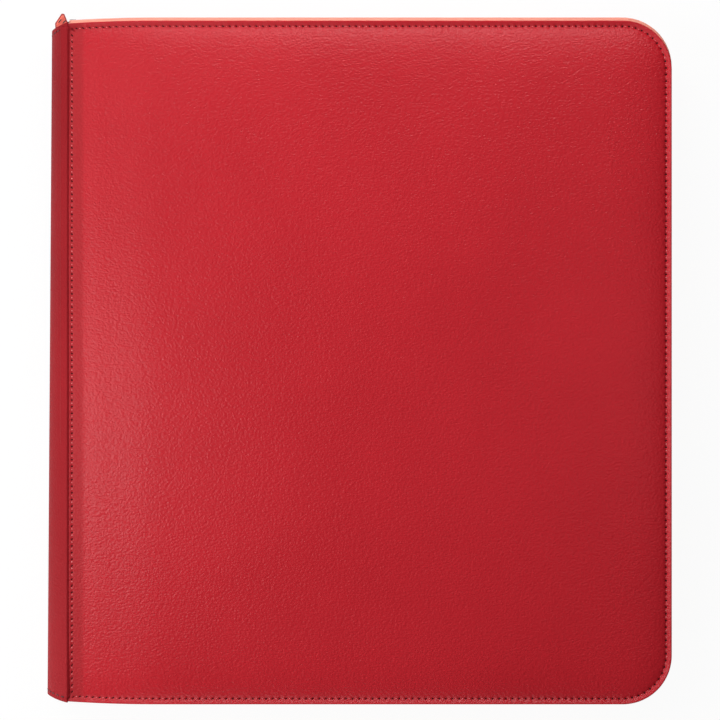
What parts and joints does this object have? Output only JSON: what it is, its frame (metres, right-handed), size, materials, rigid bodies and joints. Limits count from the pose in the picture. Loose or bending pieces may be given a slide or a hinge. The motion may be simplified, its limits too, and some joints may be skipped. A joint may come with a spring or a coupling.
{
  "type": "trading card binder",
  "caption": "Zip-around padded trading card binder with pocket leaves, rounded fore-edge corners and a bowed spine, lying closed.",
  "frame": {"origin": "centre of the closed case in X and Y, on the flat underside of the back cover it lies on", "axes": "+Z out of the front cover, +Y to the head of the covers, +X from the spine to the fore edge"},
  "size_m": [0.319, 0.3549, 0.038],
  "materials": {
    "leatherette": "red pebble-grain leatherette, satin",
    "foam": "soft foam padding",
    "board": "grey-brown binder's board",
    "lining": "black fabric-faced lining",
    "leaf": "black polypropylene with clear films",
    "zip_fabric": "coral woven zip tape",
    "zip_coil": "coral nylon coil",
    "zip_metal": "nickel-plated zip metal"
  },
  "bodies": {
    "back_cover": {"back_cover_skin": "leatherette", "back_cover_foam": "foam", "back_cover_board": "board", "back_cover_lining": "lining", "zip_tape_back": "zip_fabric", "zip_coil_back": "zip_coil", "zip_stop_back_foot": "zip_metal", "zip_stop_back_head": "zip_metal"},
    "spine": {"spine_skin": "leatherette", "spine_board": "board", "spine_lining": "lining", "binding_strip": "lining", "zip_end_tab_head": "zip_fabric", "zip_end_tab_foot": "zip_fabric"},
    "front_cover": {"front_cover_skin": "leatherette", "front_cover_foam": "foam", "front_cover_board": "board", "front_cover_lining": "lining", "zip_tape_front": "zip_fabric", "zip_coil_front": "zip_coil", "zip_stop_front_foot": "zip_metal"},
    "leaf_01": {"page_01": "leaf"},
    "leaf_02": {"page_02": "leaf"},
    "leaf_03": {"page_03": "leaf"},
    "leaf_04": {"page_04": "leaf"},
    "leaf_05": {"page_05": "leaf"},
    "leaf_06": {"page_06": "leaf"},
    "leaf_07": {"page_07": "leaf"},
    "leaf_08": {"page_08": "leaf"},
    "leaf_09": {"page_09": "leaf"},
    "leaf_10": {"page_10": "leaf"},
    "leaf_11": {"page_11": "leaf"},
    "leaf_12": {"page_12": "leaf"},
    "leaf_13": {"page_13": "leaf"},
    "leaf_14": {"page_14": "leaf"},
    "leaf_15": {"page_15": "leaf"},
    "leaf_16": {"page_16": "leaf"},
    "leaf_17": {"page_17": "leaf"},
    "leaf_18": {"page_18": "leaf"},
    "leaf_19": {"page_19": "leaf"},
    "leaf_20": {"page_20": "leaf"},
    "slider": {"zip_slider": "zip_metal"},
    "pull": {"zip_pull": "zip_metal", "zip_pull_sleeve": "leatherette"}
  },
  "joints": [
    {"name": "spine_hinge", "type": "hinge", "parent": "back_cover", "child": "spine", "pos_m": [-0.14902, 0, 0], "axis": [0, -1, 0], "range_deg": [0, 90]},
    {"name": "front_cover_hinge", "type": "hinge", "parent": "spine", "child": "front_cover", "pos_m": [-0.14902, 0, 0.038], "axis": [0, -1, 0], "range_deg": [0, 90]},
    {"name": "page_01_hinge", "type": "hinge", "parent": "spine", "child": "leaf_01", "pos_m": [-0.13003, 0, 0.019], "axis": [0, -1, 0], "range_deg": [0, 89.99]},
    {"name": "page_02_hinge", "type": "hinge", "parent": "spine", "child": "leaf_02", "pos_m": [-0.13003, 0, 0.019], "axis": [0, -1, 0], "range_deg": [0, 89.7]},
    {"name": "page_03_hinge", "type": "hinge", "parent": "spine", "child": "leaf_03", "pos_m": [-0.13003, 0, 0.019], "axis": [0, -1, 0], "range_deg": [0, 88.6]},
    {"name": "page_04_hinge", "type": "hinge", "parent": "spine", "child": "leaf_04", "pos_m": [-0.13003, 0, 0.019], "axis": [0, -1, 0], "range_deg": [0, 86.15]},
    {"name": "page_05_hinge", "type": "hinge", "parent": "spine", "child": "leaf_05", "pos_m": [-0.13003, 0, 0.019], "axis": [0, -1, 0], "range_deg": [0, 81.8]},
    {"name": "page_06_hinge", "type": "hinge", "parent": "spine", "child": "leaf_06", "pos_m": [-0.13003, 0, 0.019], "axis": [0, -1, 0], "range_deg": [0, 75.03]},
    {"name": "page_07_hinge", "type": "hinge", "parent": "spine", "child": "leaf_07", "pos_m": [-0.13003, 0, 0.019], "axis": [0, -1, 0], "range_deg": [0, 65.29]},
    {"name": "page_08_hinge", "type": "hinge", "parent": "spine", "child": "leaf_08", "pos_m": [-0.13003, 0, 0.019], "axis": [0, -1, 0], "range_deg": [0, 52.04]},
    {"name": "page_09_hinge", "type": "hinge", "parent": "spine", "child": "leaf_09", "pos_m": [-0.13003, 0, 0.019], "axis": [0, -1, 0], "range_deg": [0, 34.73]},
    {"name": "page_10_hinge", "type": "hinge", "parent": "spine", "child": "leaf_10", "pos_m": [-0.13003, 0, 0.019], "axis": [0, -1, 0], "range_deg": [0, 12.84]},
    {"name": "page_11_hinge", "type": "hinge", "parent": "spine", "child": "leaf_11", "pos_m": [-0.13003, 0, 0.019], "axis": [0, -1, 0], "range_deg": [-12.84, 0]},
    {"name": "page_12_hinge", "type": "hinge", "parent": "spine", "child": "leaf_12", "pos_m": [-0.13003, 0, 0.019], "axis": [0, -1, 0], "range_deg": [-34.73, 0]},
    {"name": "page_13_hinge", "type": "hinge", "parent": "spine", "child": "leaf_13", "pos_m": [-0.13003, 0, 0.019], "axis": [0, -1, 0], "range_deg": [-52.04, 0]},
    {"name": "page_14_hinge", "type": "hinge", "parent": "spine", "child": "leaf_14", "pos_m": [-0.13003, 0, 0.019], "axis": [0, -1, 0], "range_deg": [-65.29, 0]},
    {"name": "page_15_hinge", "type": "hinge", "parent": "spine", "child": "leaf_15", "pos_m": [-0.13003, 0, 0.019], "axis": [0, -1, 0], "range_deg": [-75.03, 0]},
    {"name": "page_16_hinge", "type": "hinge", "parent": "spine", "child": "leaf_16", "pos_m": [-0.13003, 0, 0.019], "axis": [0, -1, 0], "range_deg": [-81.8, 0]},
    {"name": "page_17_hinge", "type": "hinge", "parent": "spine", "child": "leaf_17", "pos_m": [-0.13003, 0, 0.019], "axis": [0, -1, 0], "range_deg": [-86.15, 0]},
    {"name": "page_18_hinge", "type": "hinge", "parent": "spine", "child": "leaf_18", "pos_m": [-0.13003, 0, 0.019], "axis": [0, -1, 0], "range_deg": [-88.6, 0]},
    {"name": "page_19_hinge", "type": "hinge", "parent": "spine", "child": "leaf_19", "pos_m": [-0.13003, 0, 0.019], "axis": [0, -1, 0], "range_deg": [-89.7, 0]},
    {"name": "page_20_hinge", "type": "hinge", "parent": "spine", "child": "leaf_20", "pos_m": [-0.13003, 0, 0.019], "axis": [0, -1, 0], "range_deg": [-89.99, 0]},
    {"name": "zip_slide", "type": "slide", "parent": "back_cover", "child": "slider", "axis": [1, 0, 0], "range_m": [0, 0.268]},
    {"name": "pull_hinge", "type": "hinge", "parent": "slider", "child": "pull", "pos_m": [-0.14752, 0.17555, 0.019], "axis": [0, 0, 1], "range_deg": [0, 180]}
  ],
  "couplings": [
    {"joint": "front_cover_hinge", "follows": "spine_hinge", "ratio": 1},
    {"joint": "page_01_hinge", "follows": "spine_hinge", "ratio": 0.99987},
    {"joint": "page_02_hinge", "follows": "spine_hinge", "ratio": 0.99662},
    {"joint": "page_03_hinge", "follows": "spine_hinge", "ratio": 0.98438},
    {"joint": "page_04_hinge", "follows": "spine_hinge", "ratio": 0.95713},
    {"joint": "page_05_hinge", "follows": "spine_hinge", "ratio": 0.90887},
    {"joint": "page_06_hinge", "follows": "spine_hinge", "ratio": 0.83362},
    {"joint": "page_07_hinge", "follows": "spine_hinge", "ratio": 0.72537},
    {"joint": "page_08_hinge", "follows": "spine_hinge", "ratio": 0.57812},
    {"joint": "page_09_hinge", "follows": "spine_hinge", "ratio": 0.38588},
    {"joint": "page_10_hinge", "follows": "spine_hinge", "ratio": 0.14263},
    {"joint": "page_11_hinge", "follows": "spine_hinge", "ratio": -0.14263},
    {"joint": "page_12_hinge", "follows": "spine_hinge", "ratio": -0.38588},
    {"joint": "page_13_hinge", "follows": "spine_hinge", "ratio": -0.57812},
    {"joint": "page_14_hinge", "follows": "spine_hinge", "ratio": -0.72537},
    {"joint": "page_15_hinge", "follows": "spine_hinge", "ratio": -0.83362},
    {"joint": "page_16_hinge", "follows": "spine_hinge", "ratio": -0.90887},
    {"joint": "page_17_hinge", "follows": "spine_hinge", "ratio": -0.95713},
    {"joint": "page_18_hinge", "follows": "spine_hinge", "ratio": -0.98438},
    {"joint": "page_19_hinge", "follows": "spine_hinge", "ratio": -0.99662},
    {"joint": "page_20_hinge", "follows": "spine_hinge", "ratio": -0.99987}
  ]
}
